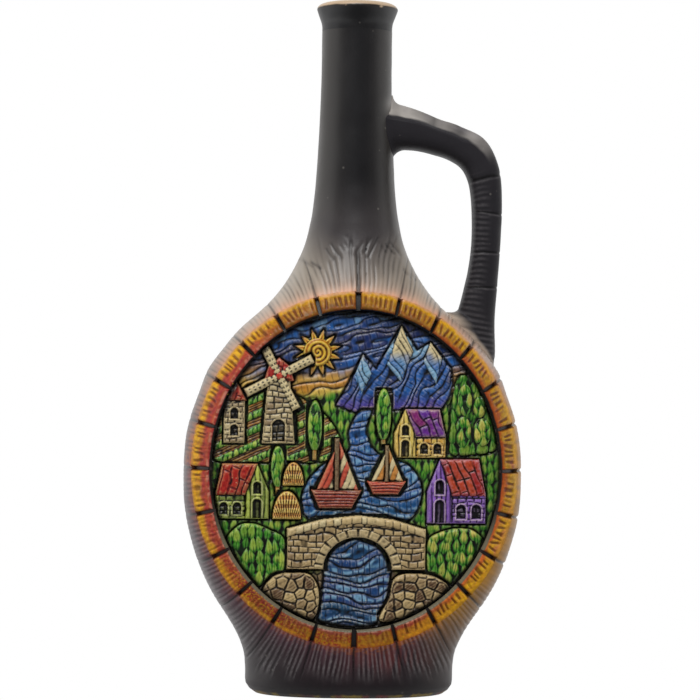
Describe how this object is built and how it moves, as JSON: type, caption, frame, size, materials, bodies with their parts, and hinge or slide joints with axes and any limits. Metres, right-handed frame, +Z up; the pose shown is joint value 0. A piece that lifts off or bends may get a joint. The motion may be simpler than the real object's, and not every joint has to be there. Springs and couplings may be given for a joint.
{
  "type": "ceramic flask with a handle",
  "caption": "Flattened round ceramic flask with a tall narrow neck, one strap handle and a sunk oval medallion of painted relief, for holding and pouring drink.",
  "frame": {"origin": "centre of the underside, where the flask stands", "axes": "+Z up along the neck, the medallion faces -Y, the handle is on +X"},
  "size_m": [0.1441, 0.0679, 0.295],
  "materials": {
    "bare_clay": "matte",
    "border_glaze": "gloss",
    "body_slip": "satin",
    "foot_slip": "satin",
    "handle_slip": "satin",
    "plaque_paint": "satin",
    "lip_clay": "satin",
    "paint_red": "satin",
    "paint_stone": "satin",
    "paint_green": "satin",
    "paint_violet": "satin",
    "paint_yellow": "satin",
    "paint_cream": "satin",
    "paint_blue": "satin"
  },
  "bodies": {
    "root": {"base_plate": "bare_clay", "border_block_01": "border_glaze", "border_block_02": "border_glaze", "border_block_03": "border_glaze", "border_block_04": "border_glaze", "border_block_05": "border_glaze", "border_block_06": "border_glaze", "border_block_07": "border_glaze", "border_block_08": "border_glaze", "border_block_09": "border_glaze", "border_block_10": "border_glaze", "border_block_11": "border_glaze", "border_block_12": "border_glaze", "border_block_13": "border_glaze", "border_block_14": "border_glaze", "border_block_15": "border_glaze", "border_block_16": "border_glaze", "border_block_17": "border_glaze", "border_block_18": "border_glaze", "border_block_19": "border_glaze", "border_block_20": "border_glaze", "border_block_21": "border_glaze", "border_block_22": "border_glaze", "border_block_23": "border_glaze", "border_block_24": "border_glaze", "flask_back_half": "body_slip", "flask_front_half": "body_slip", "foot_ring": "foot_slip", "handle": "handle_slip", "medallion_plaque": "plaque_paint", "mouth_ring": "lip_clay", "neck": "body_slip", "relief_boat_far": "paint_red", "relief_boat_near": "paint_red", "relief_boulders_left": "paint_stone", "relief_boulders_right": "paint_stone", "relief_bridge": "paint_stone", "relief_bush_left": "paint_green", "relief_bush_right": "paint_green", "relief_cottage_left": "paint_green", "relief_cottage_right": "paint_violet", "relief_cottage_upper": "paint_yellow", "relief_dovecote": "paint_cream", "relief_grove": "paint_green", "relief_haystack_far": "paint_yellow", "relief_haystack_near": "paint_yellow", "relief_lake": "paint_blue", "relief_mountains": "paint_blue", "relief_poplar_hay": "paint_green", "relief_poplar_shore": "paint_green", "relief_poplar_vineyard": "paint_green", "relief_sun": "paint_yellow", "relief_vineyard": "paint_green", "relief_windmill": "paint_cream"}
  },
  "joints": []
}
